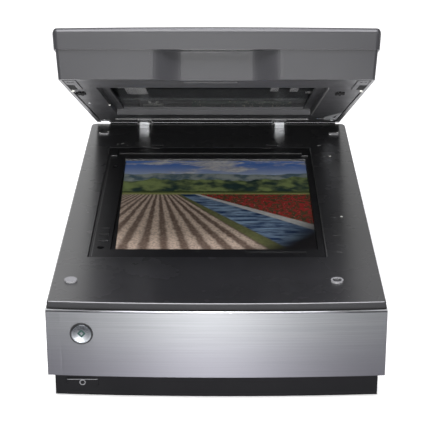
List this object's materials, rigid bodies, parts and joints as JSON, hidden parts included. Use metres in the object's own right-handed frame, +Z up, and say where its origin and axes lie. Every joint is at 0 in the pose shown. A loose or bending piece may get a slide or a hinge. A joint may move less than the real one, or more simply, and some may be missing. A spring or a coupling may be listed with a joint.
{
  "type": "film negative scanner",
  "caption": "Flatbed scanner for negatives and prints: base with glass and film guide, scan carriage inside, and a thick hinged cover with a moving lamp.",
  "frame": {"origin": "on the table, under the middle of the whole scanner as it stands with its cover open", "axes": "+Z up, front towards -Y, +X to the right as seen from the front"},
  "size_m": [0.3114, 0.5225, 0.3314],
  "materials": {
    "case_upper": "fine satin texture",
    "case_lower": "fine matt texture",
    "panel_silver": "brushed along its width",
    "bezel_black": "gloss",
    "glass_clear": "clear",
    "seal_black": "soft",
    "white_plastic": "matt",
    "guide_black": "satin",
    "film_print": "printed, semi-gloss",
    "foot_rubber": "matt",
    "pad_rubber": "matt",
    "steel_bright": "ground",
    "steel_zinc": "zinc plated",
    "inner_plastic": "moulded",
    "motor_metal": "cast and turned",
    "belt_rubber": "toothed inside",
    "gear_nylon": "moulded nylon",
    "pinion_brass": "cut",
    "bush_bronze": "sintered",
    "board_green": "printed circuit board",
    "port_black": "satin",
    "port_steel": "tinned",
    "lens_black": "matt black",
    "mirror_glass": "front silvered",
    "light_acrylic": "frosted",
    "button_silver": "satin silver",
    "lid_gloss": "dark grey, polished",
    "lid_inner_grey": "fine matt texture",
    "lever_grey": "satin"
  },
  "bodies": {
    "root": {"lower_case": "case_lower", "upper_case": "case_upper", "front_panel": "panel_silver", "start_bezel": "bezel_black", "document_glass": "glass_clear", "glass_seal": "seal_black", "calibration_strip": "white_plastic", "film_guide": "guide_black", "film_sheet": "film_print", "feet": "foot_rubber", "lid_bumpers": "pad_rubber", "hinge_sockets": "inner_plastic", "guide_rod": "steel_bright", "rod_clamps": "inner_plastic", "slide_rail": "steel_zinc", "belt_axles": "steel_bright", "scan_motor": "motor_metal", "scan_belt": "belt_rubber", "main_board": "board_green", "power_inlet": "port_black", "usb_port": "port_steel", "lid_port": "port_black", "case_screws": "steel_zinc"},
    "start_key": {"start_button": "button_silver"},
    "power_key": {"power_button": "bezel_black"},
    "scan_carriage": {"carriage_housing": "inner_plastic", "light_guides": "light_acrylic", "scan_mirrors": "mirror_glass", "lens_unit": "lens_black", "sensor_board": "board_green", "rod_bushes": "bush_bronze", "glide_pads": "white_plastic", "belt_clip": "inner_plastic"},
    "drive_gear": {"drive_pulley": "gear_nylon"},
    "idler": {"idler_pulley": "gear_nylon"},
    "pinion": {"motor_pinion": "pinion_brass"},
    "lock_slider": {"transport_lock": "lever_grey"},
    "posts": {"hinge_posts": "steel_bright"},
    "lid": {"lid_cover": "lid_gloss", "lid_inner": "lid_inner_grey", "lamp_window": "glass_clear", "hinge_brackets": "steel_zinc", "lamp_rod": "steel_bright", "lamp_rail": "steel_zinc", "lamp_axles": "steel_bright", "lamp_motor": "motor_metal", "lamp_belt": "belt_rubber", "lid_board": "board_green", "cable_bush": "white_plastic", "lid_screws": "steel_zinc"},
    "lid_lock_slider": {"lid_lock": "lever_grey"},
    "lamp_carriage": {"lamp_housing": "inner_plastic", "lamp_diffuser": "light_acrylic", "lamp_bushes": "bush_bronze", "lamp_clip": "inner_plastic"},
    "lamp_gear": {"lamp_drive": "gear_nylon"},
    "lamp_idler_wheel": {"lamp_idler": "gear_nylon"},
    "lamp_motor_pinion": {"lamp_pinion": "pinion_brass"}
  },
  "joints": [
    {"name": "start_press", "type": "slide", "parent": "root", "child": "start_key", "axis": [0, 1, 0], "range_m": [0, 0.0012], "stiffness_N_per_m": 1200, "springref_m": -0.0008},
    {"name": "power_press", "type": "slide", "parent": "root", "child": "power_key", "axis": [0, 1, 0], "range_m": [0, 0.001], "stiffness_N_per_m": 1200, "springref_m": -0.0008},
    {"name": "scan_travel", "type": "slide", "parent": "root", "child": "scan_carriage", "axis": [0, -1, 0], "range_m": [0, 0.31]},
    {"name": "drive_spin", "type": "hinge", "parent": "root", "child": "drive_gear", "pos_m": [-0.0825, -0.22, 0.02], "axis": [0, 0, 1], "range_deg": [-2255, 0]},
    {"name": "idler_spin", "type": "hinge", "parent": "root", "child": "idler", "pos_m": [-0.0825, 0.205, 0.02], "axis": [0, 0, 1], "range_deg": [-2255, 0]},
    {"name": "pinion_spin", "type": "hinge", "parent": "root", "child": "pinion", "pos_m": [-0.0625, -0.22, 0.02], "axis": [0, 0, 1], "range_deg": [0, 9005]},
    {"name": "lock_slide", "type": "slide", "parent": "root", "child": "lock_slider", "axis": [1, 0, 0], "range_m": [0, 0.008]},
    {"name": "post_lift", "type": "slide", "parent": "root", "child": "posts", "axis": [0, 0, 1], "range_m": [0, 0.02]},
    {"name": "lid_hinge", "type": "hinge", "parent": "posts", "child": "lid", "pos_m": [0, 0.237, 0.1045], "axis": [-1, 0, 0], "range_deg": [-23.7, 51.3]},
    {"name": "lid_lock_slide", "type": "slide", "parent": "lid", "child": "lid_lock_slider", "axis": [-1, 0, 0], "range_m": [0, 0.01]},
    {"name": "lamp_travel", "type": "slide", "parent": "lid", "child": "lamp_carriage", "axis": [0, -0.9157, 0.4019], "range_m": [-0.038, 0.222]},
    {"name": "lamp_drive_spin", "type": "hinge", "parent": "lid", "child": "lamp_gear", "pos_m": [0.107, 0.18496, 0.16011], "axis": [0, 0.4019, 0.9157], "range_deg": [-1875, 322]},
    {"name": "lamp_idler_spin", "type": "hinge", "parent": "lid", "child": "lamp_idler_wheel", "pos_m": [0.107, -0.11446, 0.29154], "axis": [0, 0.4019, 0.9157], "range_deg": [-1875, 322]},
    {"name": "lamp_pinion_spin", "type": "hinge", "parent": "lid", "child": "lamp_motor_pinion", "pos_m": [0.087, 0.18577, 0.16194], "axis": [0, 0.4019, 0.9157], "range_deg": [-1285, 7490]}
  ],
  "couplings": [
    {"joint": "drive_spin", "follows": "scan_travel", "rad_per_m": -126.58},
    {"joint": "idler_spin", "follows": "scan_travel", "rad_per_m": -126.58},
    {"joint": "pinion_spin", "follows": "scan_travel", "rad_per_m": 506.33},
    {"joint": "lamp_drive_spin", "follows": "lamp_travel", "rad_per_m": -147.06},
    {"joint": "lamp_idler_spin", "follows": "lamp_travel", "rad_per_m": -147.06},
    {"joint": "lamp_pinion_spin", "follows": "lamp_travel", "rad_per_m": 588.24}
  ]
}
